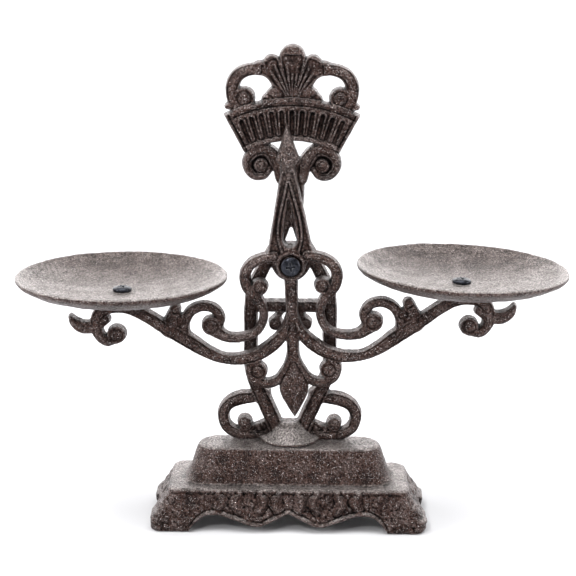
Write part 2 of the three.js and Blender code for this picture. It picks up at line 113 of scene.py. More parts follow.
def surface_nets(f, origin, step):
    """Vertices and outward quads of the zero surface of a field sampled on a grid, negative inside."""
    inside = f < 0
    count = np.zeros(tuple(s - 1 for s in f.shape), np.uint8)
    for dx in (0, 1):
        for dy in (0, 1):
            for dz in (0, 1):
                count += inside[
                    dx : f.shape[0] - 1 + dx, dy : f.shape[1] - 1 + dy, dz : f.shape[2] - 1 + dz
                ]
    cells = np.argwhere((count > 0) & (count < 8))
    corners = [(a, b, c) for a in (0, 1) for b in (0, 1) for c in (0, 1)]
    values = [f[cells[:, 0] + a, cells[:, 1] + b, cells[:, 2] + c] for a, b, c in corners]
    total = np.zeros((len(cells), 3), np.float64)
    hits = np.zeros(len(cells))
    for i, ca in enumerate(corners):
        for j, cb in enumerate(corners):
            if j <= i or sum(abs(x - y) for x, y in zip(ca, cb)) != 1:
                continue
            va, vb = values[i], values[j]
            cross = (va < 0) != (vb < 0)
            t = np.where(cross, va / np.where(cross, va - vb, 1), 0)
            point = np.array(ca) + t[:, None] * (np.array(cb) - np.array(ca))
            total += point * cross[:, None]
            hits += cross
    verts = (cells + total / hits[:, None]) * np.array(step) + np.array(origin)
    ids = np.full(count.shape, -1, np.int32)
    ids[cells[:, 0], cells[:, 1], cells[:, 2]] = np.arange(len(cells))
    quads = []
    for axis in range(3):
        u, v = (axis + 1) % 3, (axis + 2) % 3
        lo = [slice(None)] * 3
        hi = [slice(None)] * 3
        lo[axis] = slice(0, -1)
        hi[axis] = slice(1, None)
        for k in (u, v):
            lo[k] = slice(1, -1)
            hi[k] = slice(1, -1)
        a, b = inside[tuple(lo)], inside[tuple(hi)]
        for flip, where in ((False, a & ~b), (True, ~a & b)):
            e = np.argwhere(where)
            e[:, u] += 1
            e[:, v] += 1
            ring = []
            for du, dv in ((-1, -1), (0, -1), (0, 0), (-1, 0)):
                c = e.copy()
                c[:, u] += du
                c[:, v] += dv
                ring.append(ids[c[:, 0], c[:, 1], c[:, 2]])
            q = np.stack(ring, 1)
            quads.append(q[:, ::-1] if flip else q)
    return verts, np.concatenate(quads)


def vertex_normals(verts, faces):
    a, b, c, d = (verts[faces[:, i]] for i in range(4))
    n = np.cross(c - a, d - b)
    out = np.zeros_like(verts)
    for i in range(4):
        np.add.at(out, faces[:, i], n)
    return out / np.maximum(np.linalg.norm(out, axis=1, keepdims=True), 1e-12)


def lean(verts, degrees, pivot_z):
    """Turns points about the Y axis through (0, 0, pivot_z); right side down when positive."""
    t = math.radians(degrees)
    out = verts.copy()
    x, z = verts[:, 0], verts[:, 2] - pivot_z
    out[:, 0] = x * math.cos(t) + z * math.sin(t)
    out[:, 2] = -x * math.sin(t) + z * math.cos(t) + pivot_z
    return out


def edge_wear_and_shade(verts, faces, rounds=7):
    """How far each point stands out of its smoothed surroundings: edges above 0, crevices below."""
    a, b = faces.ravel(), np.roll(faces, -1, axis=1).ravel()
    n = len(verts)
    degree = np.bincount(a, minlength=n) + np.bincount(b, minlength=n)
    p = verts.copy()
    for _ in range(rounds):
        q = np.empty_like(p)
        for k in range(3):
            q[:, k] = np.bincount(a, p[b, k], n) + np.bincount(b, p[a, k], n)
        p = 0.5 * p + 0.5 * q / degree[:, None]
    return ((verts - p) * vertex_normals(verts, faces)).sum(1)


def make_object(name, verts_mm, faces, body, material, replaced, painted_glare=None):
    """Makes a piece, on a body, with two values at its points: worn edges with painted shade in crevices, and
    a painted highlight in lighter grey.
    """
    faces = np.asarray(faces, np.int32)
    wear_and_shade = np.clip(edge_wear_and_shade(verts_mm, faces) / WEAR_AND_SHADE_SPAN, -1, 1)
    if body == "balance_beam":
        verts_mm = lean(verts_mm, REST_TILT, PIVOT_Z)
    mesh = bpy.data.meshes.new(name)
    mesh.vertices.add(len(verts_mm))
    mesh.vertices.foreach_set("co", (verts_mm * MM).astype(np.float32).ravel())
    mesh.loops.add(faces.size)
    mesh.loops.foreach_set("vertex_index", faces.ravel())
    mesh.polygons.add(len(faces))
    mesh.polygons.foreach_set("loop_start", np.arange(0, faces.size, faces.shape[1], dtype=np.int32))
    mesh.update(calc_edges=True)
    mesh.validate()
    mesh.polygons.foreach_set("use_smooth", np.ones(len(mesh.polygons), bool))
    layer = mesh.attributes.new("wear_and_shade", "FLOAT", "POINT")
    layer.data.foreach_set("value", (wear_and_shade * 0.5 + 0.5).astype(np.float32))
    # upward faces painted lighter: a painted highlight where the lights above would glare
    upward = 0.75 * np.clip((vertex_normals(verts_mm, faces)[:, 2] - 0.55) / 0.4, 0, 1)
    layer = mesh.attributes.new("painted_glare", "FLOAT", "POINT")
    layer.data.foreach_set("value", (upward if painted_glare is None else painted_glare).astype(np.float32))
    mesh.materials.append(material)
    obj = bpy.data.objects.new(name, mesh)
    bpy.context.scene.collection.objects.link(obj)
    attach(obj, body)
    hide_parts(*replaced)
    return obj


CAST_SKIN = [(3.2, 0.12), (1.25, 0.11)]
BASE_SKIN = [(3.0, 0.12), (1.2, 0.13)]


def roughen(verts, faces, layers):
    """Moves points along their normals by layers of noise, as (size of lumps, height) in mm."""
    normals = vertex_normals(verts, faces)
    move = np.zeros(len(verts))
    for i, (scale, height) in enumerate(layers):
        move += height * noise(verts, scale, i % len(LATTICES))
    return verts + normals * move[:, None]


# ---- Flat castings: an outline field and a relief, both over the XZ plane ----
def smooth_line(points, pitch=0.3):
    """Centripetal Catmull-Rom line through [x, z, width] points, as rows of x, z, half width."""
    p = np.array(points, float)
    p = np.vstack([2 * p[0] - p[1], p, 2 * p[-1] - p[-2]])
    out = []
    for i in range(1, len(p) - 2):
        d = [max(np.linalg.norm(p[i + k] - p[i + k - 1]) ** 0.5, 1e-4) for k in range(3)]
        before, step, after = p[i] - p[i - 1], p[i + 1] - p[i], p[i + 2] - p[i + 1]
        t1 = (before / d[0] - (p[i + 1] - p[i - 1]) / (d[0] + d[1]) + step / d[1]) * d[1]
        t2 = (step / d[1] - (p[i + 2] - p[i]) / (d[1] + d[2]) + after / d[2]) * d[1]
        n = max(2, int(np.linalg.norm(step) / pitch))
        t = np.linspace(0, 1, n, endpoint=False)[:, None]
        c2 = -3 * p[i] + 3 * p[i + 1] - 2 * t1 - t2
        c3 = 2 * p[i] - 2 * p[i + 1] + t1 + t2
        out.append(p[i] + t1 * t + c2 * t**2 + c3 * t**3)
    out.append(p[-2][None, :])
    line = np.vstack(out)
    line[:, 2] /= 2
    return line


def roll(u):
    """A strand's front: a rounded middle between two grooves and thin rims."""
    middle = 1.25 * np.sqrt(np.clip(1 - (u / 0.6) ** 2, 0, 1))
    rim = 0.95 * ridge(u, 0.82, 0.11)
    return middle + rim - 0.55 - 4.0 * np.clip(u - 0.92, 0, 2)


def roof(u):
    """A leaf's front: two slopes up to a ridge."""
    return 1.1 - 1.5 * u


def flat(u):
    """A plain strand, falling away at its edges."""
    return 0.1 - 0.9 * np.clip(u - 0.85, 0, 2) * 3


class Casting:
    """Outline distance and front relief (mm, towards the viewer) of a flat casting."""

    def __init__(self, x0, x1, z0, z1):
        self.x = np.arange(x0, x1 + STEP, STEP)
        self.z = np.arange(z0, z1 + STEP, STEP)
        self.X, self.Z = np.meshgrid(self.x, self.z, indexing="ij")
        self.outline = np.full(self.X.shape, 9.0)
        self.relief = np.full(self.X.shape, -9.0)

    def window(self, x0, x1, z0, z1):
        """The part of the grid within these limits."""
        i0, i1 = np.searchsorted(self.x, (x0, x1))
        j0, j1 = np.searchsorted(self.z, (z0, z1))
        return slice(i0, i1), slice(j0, j1)

    def blend(self, w, d, h, fillet, over=False):
        """Adds a shape of distance d and height h to window w, on top of what is there if over is set."""
        self.outline[w] = smin(self.outline[w], d, fillet)
        h = np.where(d > 0, np.minimum(h, 0) - 0.8 * d, h)
        if over:
            mix = np.clip(-d / 0.6, 0, 1)
            under = np.maximum(self.relief[w], h - 0.8)
            self.relief[w] = np.where(d < 0, h * mix + under * (1 - mix), self.relief[w])
        else:
            self.relief[w] = smax(self.relief[w], h, 0.5)

    def strand(self, points, profile=roll, lift=0.0, fillet=1.6, over=False, mirror=True):
        """Adds a strand along [x, z, width] points, and its mirror image."""
        for side in (1, -1) if mirror else (1,):
            line = smooth_line(points)
            line[:, 0] *= side
            pad = line[:, 2].max() + 5
            (x0, z0), (x1, z1) = line[:, :2].min(0) - pad, line[:, :2].max(0) + pad
            w = self.window(x0, x1, z0, z1)
            x, z = self.X[w], self.Z[w]
            best = np.full(x.shape, 1e9)
            near = np.full(x.shape, 1e9)
            half = np.ones(x.shape)
            for sx, sz, sh in line:
                r = np.hypot(x - sx, z - sz)
                closer = r - sh < best
                best = np.where(closer, r - sh, best)
                near = np.where(closer, r, near)
                half = np.where(closer, sh, half)
            u = near / np.maximum(half, 0.4)
            self.blend(w, best, profile(u) * np.clip(half / 2.6, 0.3, 1) + lift, fillet, over)

    def disc(self, x, z, r, lift, crown, groove=0.0, mirror=True):
        """Adds a crowned round knob, and its mirror image, with a ring groove where groove is set."""
        for side in (1, -1) if mirror else (1,):
            w = self.window(side * x - r - 4, side * x + r + 4, z - r - 4, z + r + 4)
            d = np.hypot(self.X[w] - side * x, self.Z[w] - z)
            h = crown * np.sqrt(np.clip(1 - (d / r) ** 2, 0, 1)) - crown * 0.35 + lift
            if groove:
                h = h - groove * ridge(d / r, 0.62, 0.14)
            self.blend(w, d - r, h, 1.2, over=True)

    def polygon_distance(self, points):
        """Distance of the grid from a polygon, negative inside."""
        d = np.full(self.X.shape, 1e9)
        sign = np.ones(self.X.shape)
        n = len(points)
        for i in range(n):
            ax, az = points[i]
            bx, bz = points[(i + 1) % n]
            ex, ez = bx - ax, bz - az
            px, pz = self.X - ax, self.Z - az
            t = np.clip((px * ex + pz * ez) / (ex * ex + ez * ez), 0, 1)
            d = np.minimum(d, np.hypot(px - ex * t, pz - ez * t))
            crosses = ((self.Z >= az) != (self.Z >= bz)) & (
                self.X < (bx - ax) * (self.Z - az) / ((bz - az) or 1e-9) + ax
            )
            sign = np.where(crosses, -sign, sign)
        return d * sign

    def solid(self, front, back, y0, y1):
        """The field on a 3-D grid: y from y0 to y1, front face at front less the relief."""
        y = np.arange(y0, y1 + STEP, STEP)
        out = np.empty((len(self.x), len(y), len(self.z)), np.float32)
        face = front - np.clip(self.relief, -2.5, 3)
        for j, yy in enumerate(y):
            side = self.outline + DRAFT * (back - yy)
            out[:, j, :] = smax(smax(side, face - yy, EDGE), yy - back, EDGE)
        return out, y


# ---- Materials ----
def new_material(name):
    m = bpy.data.materials.new(name)
    m.use_nodes = True
    nodes, links = m.node_tree.nodes, m.node_tree.links
    nodes.clear()
    out = nodes.new("ShaderNodeOutputMaterial")
    shader = nodes.new("ShaderNodeBsdfPrincipled")
    links.new(shader.outputs["BSDF"], out.inputs["Surface"])
    coord = nodes.new("ShaderNodeTexCoord")
    return m, nodes, links, shader, coord


def noise_node(nodes, links, coord, scale, detail, rough):
    n = nodes.new("ShaderNodeTexNoise")
    n.inputs["Scale"].default_value = scale
    n.inputs["Detail"].default_value = detail
    n.inputs["Roughness"].default_value = rough
    links.new(coord.outputs["Object"], n.inputs["Vector"])
    return n


def ramp(nodes, links, source, stops):
    r = nodes.new("ShaderNodeValToRGB")
    while len(r.color_ramp.elements) < len(stops):
        r.color_ramp.elements.new(0.5)
    for element, (at, colour) in zip(r.color_ramp.elements, stops):
        element.position = at
        element.color = (*colour, 1)
    links.new(source, r.inputs["Fac"])
    return r.outputs["Color"]


def mix_colour(nodes, links, fac, a, b, blend="MIX"):
    mix = nodes.new("ShaderNodeMix")
    mix.data_type = "RGBA"
    mix.blend_type = blend
    for value, socket in ((fac, mix.inputs[0]), (a, mix.inputs[6]), (b, mix.inputs[7])):
        if isinstance(value, bpy.types.NodeSocket):
            links.new(value, socket)
        else:
            socket.default_value = (*value, 1) if isinstance(value, tuple) else value
    return mix.outputs[2]


def grey_ramp(nodes, links, source, stops):
    return ramp(nodes, links, source, [(at, (level,) * 3) for at, level in stops])


def map_range(nodes, links, source, lo, hi, to_lo, to_hi):
    m = nodes.new("ShaderNodeMapRange")
    for name, value in (("From Min", lo), ("From Max", hi), ("To Min", to_lo), ("To Max", to_hi)):
        m.inputs[name].default_value = value
    links.new(source, m.inputs["Value"])
    return m.outputs["Result"]


def attribute(nodes, name):
    a = nodes.new("ShaderNodeAttribute")
    a.attribute_name = name
    return a.outputs["Fac"]


def bump_node(nodes, links, height, strength, distance, before=None):
    b = nodes.new("ShaderNodeBump")
    b.inputs["Strength"].default_value = strength
    b.inputs["Distance"].default_value = distance
    links.new(height, b.inputs["Height"])
    if before is not None:
        links.new(before, b.inputs["Normal"])
    return b.outputs["Normal"]


def grey_colour(nodes, links, value):
    c = nodes.new("ShaderNodeCombineColor")
    for i in range(3):
        links.new(value, c.inputs[i])
    return c.outputs[0]


def product(nodes, links, a, b):
    m = nodes.new("ShaderNodeMath")
    m.operation = "MULTIPLY"
    links.new(a, m.inputs[0])
    links.new(b, m.inputs[1])
    return m.outputs[0]


IRON_TONES = (0.022, 0.012, 0.010), (0.047, 0.026, 0.021), (0.066, 0.044, 0.039)  # dark, middle, light


def cast_iron(name, glare_dark, glare_light, rough, grain, bump):
    """Oiled sand casting: brown blotches, sandy grain with painted sparkle, painted glints, painted shade in
    the crevices, rubbed edges, and a lighter painted highlight mostly on upward faces.
    """
    dark, mid, light = IRON_TONES
    m, nodes, links, shader, coord = new_material(name)
    blotch = noise_node(nodes, links, coord, 90.0, 4.0, 0.6).outputs["Fac"]
    sand = noise_node(nodes, links, coord, grain, 2.0, 0.6).outputs["Fac"]
    pits = noise_node(nodes, links, coord, grain * 1.9, 2.0, 0.6).outputs["Fac"]
    colour = ramp(nodes, links, blotch, [(0.38, dark), (0.5, mid), (0.62, light)])
    # upward faces painted lighter grey: a painted highlight where the lights above would glare
    painted_glare = attribute(nodes, "painted_glare")
    grey = ramp(nodes, links, blotch, [(0.38, glare_dark), (0.62, glare_light)])
    colour = mix_colour(nodes, links, painted_glare, colour, grey)
    # sand grain, darker and lighter; the lightest dots are partly a painted sparkle of light caught by the
    # grains
    grain_and_sparkle = grey_ramp(nodes, links, sand, [(0.36, 0.10), (0.5, 0.5), (0.60, 0.88)])
    colour = mix_colour(nodes, links, 0.75, colour, grain_and_sparkle, "OVERLAY")
    holes = grey_ramp(nodes, links, pits, [(0.34, 0.12), (0.44, 1.0)])
    colour = mix_colour(nodes, links, 0.85, colour, holes, "MULTIPLY")
    wear_and_shade = attribute(nodes, "wear_and_shade")
    # crevices painted darker: painted shade where little light reaches
    painted_crevice_shade = map_range(nodes, links, wear_and_shade, 0.15, 0.47, 0.08, 1.0)
    colour = mix_colour(nodes, links, 1.0, colour, grey_colour(nodes, links, painted_crevice_shade), "MULTIPLY")
    edges = map_range(nodes, links, wear_and_shade, 0.60, 0.95, 0.0, 0.45)
    rub = product(nodes, links, edges, map_range(nodes, links, sand, 0.42, 0.55, 0.1, 1.0))
    colour = mix_colour(nodes, links, rub, colour, tuple(1.6 * c + 0.12 for c in light))
    # painted glints: bright spots on the flatter faces, standing in for light caught by the sand grains
    glint_spots = map_range(nodes, links, pits, 0.59, 0.69, 0.0, 0.85)
    painted_glint = product(nodes, links, glint_spots, map_range(nodes, links, wear_and_shade, 0.40, 0.50, 0.0, 1.0))
    colour = mix_colour(nodes, links, painted_glint, colour, tuple(2.0 * c + 0.42 for c in light))
    links.new(colour, shader.inputs["Base Color"])
    roughness = map_range(nodes, links, pits, 0.36, 0.62, rough + 0.25, rough - 0.14)
    links.new(roughness, shader.inputs["Roughness"])
    normal = bump_node(nodes, links, sand, bump, 0.0016)
    normal = bump_node(nodes, links, pits, bump * 0.8, 0.0008, normal)
    links.new(normal, shader.inputs["Normal"])
    shader.inputs["Metallic"].default_value = 0.88
    shader.inputs["Specular IOR Level"].default_value = 0.5
    return m


def black_steel(name):
    """Blackened screw steel, faintly blue, lighter along its rubbed edges."""
    m, nodes, links, shader, coord = new_material(name)
    scuff = noise_node(nodes, links, coord, 600.0, 3.0, 0.6).outputs["Fac"]
    stops = [(0.35, (0.010, 0.011, 0.015)), (0.6, (0.026, 0.028, 0.036)), (0.8, (0.08, 0.08, 0.09))]
    tint = ramp(nodes, links, scuff, stops)
    rubbed = map_range(nodes, links, attribute(nodes, "wear_and_shade"), 0.56, 0.85, 0.0, 0.7)
    links.new(mix_colour(nodes, links, rubbed, tint, (0.22, 0.22, 0.23)), shader.inputs["Base Color"])
    links.new(map_range(nodes, links, scuff, 0.3, 0.7, 0.2, 0.4), shader.inputs["Roughness"])
    links.new(bump_node(nodes, links, scuff, 0.15, 0.0001), shader.inputs["Normal"])
    shader.inputs["Metallic"].default_value = 0.85
    return m


# the two greys after the name are the tones of the painted highlight on upward faces
IRON = cast_iron(
    "iron_casting", (0.175, 0.156, 0.147), (0.315, 0.285, 0.272), rough=0.36, grain=850.0, bump=1.0
)
PAN_IRON = cast_iron(
    "pan_casting", (0.175, 0.155, 0.146), (0.27, 0.245, 0.234), rough=0.40, grain=950.0, bump=0.9
)
STEEL = black_steel("black_steel")

# ---- Upright ----
# Strands are lists of [x, height over the pivot, width]; most are drawn on the right and mirrored.
CREST = [
    (
        [
            [9, 111, 7], [17, 116.2, 7.6], [25.4, 116.5, 8], [32.2, 113.4, 8.5], [35.6, 107, 8.6],
            [35.2, 100, 8.6], [33, 94.5, 8],
        ],
        roll,
    ),
    ([[33, 94.5, 6], [38.6, 94.6, 4.4]], flat),
    ([[2.5, 97, 8], [8, 109, 10], [12.3, 119, 11]], flat),
]
VOLUTE = [
    [6, 51, 8], [8.6, 62, 9], [14, 68.6, 7.6], [21, 68.6, 6.8], [26.6, 63.6, 6.2], [26.9, 57.4, 5.6],
    [22.8, 52.8, 5.2], [16.6, 52.8, 5], [13.4, 56.6, 5],
]
LYRE = [
    [3, 24, 7], [8, 12, 8], [13.5, 2, 8.4], [18.5, -8, 8.8], [22.8, -18, 9.2], [24.3, -30, 9.2],
    [24.3, -44, 9.2], [24.5, -58, 9], [24.2, -68, 9], [21.4, -77, 9.6], [17, -86.5, 10.4],
    [12.6, -96.5, 10.4], [8.6, -105.5, 10], [6.5, -112, 10],
]
SCROLL_FOOT = [
    [15, -84, 7], [22, -86.6, 8], [31, -88, 9], [38, -91.6, 8.4], [41.4, -98, 8], [39.5, -106, 7.6],
    [33, -110.5, 7.6], [24, -111.5, 7], [10, -112, 6],
]
FOOT_WEB = [(6, -114), (31, -114), (31, -103.5), (22, -104.6), (15.5, -101.6), (8, -104)]
CREST_KNOBS = [  # x, height, radius, crown
    (12.3, 120.3, 5.6, 0.5), (19.5, 117.6, 4.6, 0.5), (10.5, 101.5, 5.4, 1.2), (14.6, 98.8, 4, 0.6),
]
PALMETTE_RIBS = [(0, 20), (8, 25), (16, 27), (24, 27), (33, 25), (43, 20)]  # angle in degrees, reach
# height and radius of the foot's flange and cone
BOSS = [(47, 18.6), (49.8, 18.6), (50.8, 17.4), (51.6, 15), (54, 11.6), (57, 8.6), (59.8, 7), (61.6, 0)]


def build_upright():
    c = Casting(-50, 50, -116, 136)
    thick = -0.8
    c.strand([[0, 26, 9], [0, 32, 14], [0, 46, 16], [0, 60, 13]], roll, mirror=False)
    c.strand(LYRE)
    c.strand(SCROLL_FOOT, lift=thick)
    c.strand([[-23, -28, 8.2], [0, -28, 8], [23, -28, 8.2]], mirror=False)
    c.strand([[5.6, -31, 5], [9, -37, 5]])
    c.disc(19.8, 60.4, 8.8, lift=-1.9, crown=0.0)
    c.strand(VOLUTE, fillet=1.0)
    c.strand([[28, -112, 8], [28, -104, 6]], flat, lift=thick)
    c.strand([[-30, -112.6, 5], [30, -112.6, 5]], flat, lift=-0.4, mirror=False)
    for points, profile in CREST:
        c.strand(points, profile, lift=thick, fillet=1.2)
    palmette = [[0, 96, 12], [0, 108, 13], [0, 118, 15.4], [0, 124, 16]]
    c.strand(palmette, flat, lift=thick, fillet=1.2, mirror=False)
    for x, z, r, crown in CREST_KNOBS:
        c.disc(x, z, r, lift=thick, crown=crown)
    c.disc(28.6, 100, 6.8, lift=thick + 0.4, crown=1.6, groove=0.7)
    # foliage ground of the scroll feet
    web = np.minimum(c.polygon_distance(FOOT_WEB), c.polygon_distance([(-x, z) for x, z in FOOT_WEB]))
    lumps = np.sin(c.X * 1.05 + 0.6 * np.sin(c.Z * 0.9)) * np.sin(c.Z * 0.95 + 0.8 * np.sin(c.X * 0.7))
    c.outline = smin(c.outline, web, 1.2)
    c.relief = np.where(web < 0.2, np.maximum(c.relief, -1.3 + 0.7 * lumps), c.relief)
    # palmette ribs, fanned out from its foot, and the hollow near its tip
    span = np.hypot(c.X, c.Z - 96)
    ribs = np.zeros(c.X.shape)
    for angle, reach in PALMETTE_RIBS:
        away = span * np.abs(np.sin(np.arctan2(np.abs(c.X), c.Z - 96) - math.radians(angle)))
        ribs = np.maximum(ribs, ridge(away, 0, 0.75) * np.clip((reach - span) / 4, 0, 1))
    crest = (c.Z > 99.5) & (c.outline < 0) & (span < 30) & (np.abs(c.X) < 19)
    rim = ridge(c.outline, -1.1, 0.6)
    hollow = np.clip(1 - (c.X / 3.4) ** 2 - ((c.Z - 124.4) / 5.2) ** 2, 0, 1)
    face = thick - 0.5 + 1.15 * ribs + 1.2 * rim - 1.3 * hollow
    c.relief = np.where(crest & (np.hypot(np.abs(c.X) - 10.5, c.Z - 101.5) > 5.6), face, c.relief)
    c.disc(18.4, 59.6, 4.2, lift=0.3, crown=1.4, groove=0.6)
    c.disc(9, -39, 4.8, lift=0.1, crown=1.2, groove=0.5)
    c.disc(28, -103.5, 5, lift=-0.2, crown=1.6, groove=0.5)
    c.disc(0, 0, 12.5, lift=0.0, crown=0.0, mirror=False)
    # fan dial in polar form about its centre
    rho = np.hypot(c.X, c.Z - FAN_Z)
    theta = np.degrees(np.arctan2(c.X, c.Z - FAN_Z))
    sides = rho * np.sin(np.radians(np.abs(theta) - FAN_HALF))
    fan = np.maximum(np.maximum(rho - FAN_OUTER, FAN_INNER - rho), sides)
    fan = np.where(c.Z > FAN_Z, fan, 20.0)
    top, foot = rho - FAN_OUTER, rho - FAN_INNER
    face = 0.5 + 0.7 * ridge(top, -1.6, 1.3) + 0.5 * ridge(foot, 1.8, 1.2)
    face -= 0.8 * ridge(top, -4.4, 0.6) + 0.8 * ridge(foot, 4.2, 0.6)
    face += 0.7 * ridge(sides, -1.2, 0.8) - 0.9 * ridge(sides, -2.9, 0.6)
    for i in range(-5, 6):
        across = rho * np.radians(theta - 4.5 * i)
        along = np.clip(rho, 60, FAN_OUTER - 8.6)
        d = np.hypot(across, rho - along) - 1.9
        inside = (rho > FAN_INNER + 4.6) & (sides < -3.6)
        face = face + inside * (0.8 * ridge(d, 0, 0.5) - 0.9 * np.clip(-d / 0.9, 0, 1))
    c.outline = smin(c.outline, fan, 0.6)
    c.relief = np.where(fan < 0.3, face, c.relief)
    f, y = c.solid(UP_FRONT, UP_BACK, UP_FRONT - 16, UP_BACK + 1)
    # half round foot flange and cone in front of the plate
    X, Y, Z = c.x[:, None, None], y[None, :, None], c.z[None, None, :]
    z = Z + PIVOT_Z
    radius = np.interp(z, [k[0] for k in BOSS], [k[1] for k in BOSS])
    cone = (np.hypot(X, Y - 10) - radius) * 0.85
    cone = smax(cone, Y - UP_BACK, 0.8)
    cone = smax(cone, z - 60.2, 0.8)
    f = smin(f, cone, 1.6)
    f = smax(f, BASE_TOP_Z + 0.3 - z, 0.5)
    f = np.maximum(f, PIVOT_BORE_R - np.hypot(X, Z))
    verts, faces = surface_nets(f, (c.x[0], y[0], c.z[0]), STEP)
    verts[:, 2] += PIVOT_Z
    verts = roughen(verts, faces, CAST_SKIN)
    # upward faces painted lighter, a painted highlight where the lights above would glare, most of all on the
    # foot's cone
    top = np.clip((vertex_normals(verts, faces)[:, 2] - 0.2) / 0.4, 0, 1)
    painted_glare = top * np.where((verts[:, 2] < 62) & (verts[:, 1] < UP_FRONT - 0.5), 1.0, 0.2)
    return make_object("upright_casting", verts, faces, "stand", IRON, ["upright"], painted_glare)


# ---- Beam ----
HEART = [
    [10, 6, 6.4], [17.4, 4.6, 6.8], [23.8, 1.4, 7.2], [27.8, -5, 7.4], [27, -12.5, 7.4],
    [22, -18.5, 7.2], [18, -25, 6.2], [17.6, -34, 5.8], [22, -41.2, 5.8], [31, -44.4, 6.2],
    [40, -44, 7], [46.6, -40, 8.6],
]
ARM = [
    [2.6, -34, 5], [5, -41.5, 7.4], [11, -48.4, 8.8], [21, -55.2, 8.4], [32, -58, 7.8],
    [43, -57.4, 7], [53, -52.8, 8.4], [62, -46.8, 9.8], [71, -41, 9.8], [80, -35.4, 8.8],
    [89, -29.4, 8.4], [98, -24.6, 8.4], [108, -22.8, 9], [115.6, -25.4, 9], [119.4, -31.8, 8.6],
    [118.6, -40, 7.6], [113.6, -44.8, 6.8], [108.2, -43.4, 6],
]
HOOK = [
    [66, -43, 7], [65.8, -34.6, 7], [61.2, -27, 7], [54, -24.2, 6.8], [47, -26.4, 6.6],
    [44, -32.4, 6.8], [46.6, -38.6, 6.4],
]
ARM_LEAF = [[75, -38, 12], [72.6, -31, 10], [71, -25, 7.0]]
TAIL_LEAF = [[114, -31, 7], [121, -35, 8.6], [127.5, -35.6, 8.6], [132.6, -32.8, 7], [135.2, -28.8, 3.8]]
LOWER_CURL = [
    [1, -56, 5], [4.5, -65, 6], [10, -72.4, 6.6], [18, -74.2, 6.6], [24.8, -70.6, 7],
    [26.4, -63.6, 6.6], [22.4, -60, 6],
]
SPINE = [[0, -5, 9], [0, -26, 8.2], [0, -40, 8.4], [0, -50, 8.2], [0, -66, 7.4]]
DROP_LEAF = [[0, -62, 5], [0, -70, 12.6], [0, -77, 18.4], [0, -84.6, 12.8], [0, -96, 1.2]]
CURL_KNOBS = [  # x, height, radius, lift
    (19, -12.8, 5.4, 0.2), (49.4, -36.4, 6.4, 0.2), (107.6, -40.4, 6.2, 0.2), (21.8, -66, 6.2, 0.0),
]
BLADE = [(-4.2, 60), (4.2, 60), (14, 8), (10, 0), (-10, 0), (-14, 8)]
BLADE_RING = [[0, 51, 3], [0, 40, 8.4], [0, 26, 14.6], [0, 18, 15.6], [0, 10, 12]]
ARROW_HALF = [(3.9, 75), (7.6, 64.4), (4.4, 60.6), (4.2, 57)]
ARROW = [(0, 86.4)] + ARROW_HALF + [(-x, z) for x, z in reversed(ARROW_HALF)]
SLOT_TOP, SLOT_FOOT, SLOT_R = 40.5, 15.9, 3.9
HUB_R = 9.4


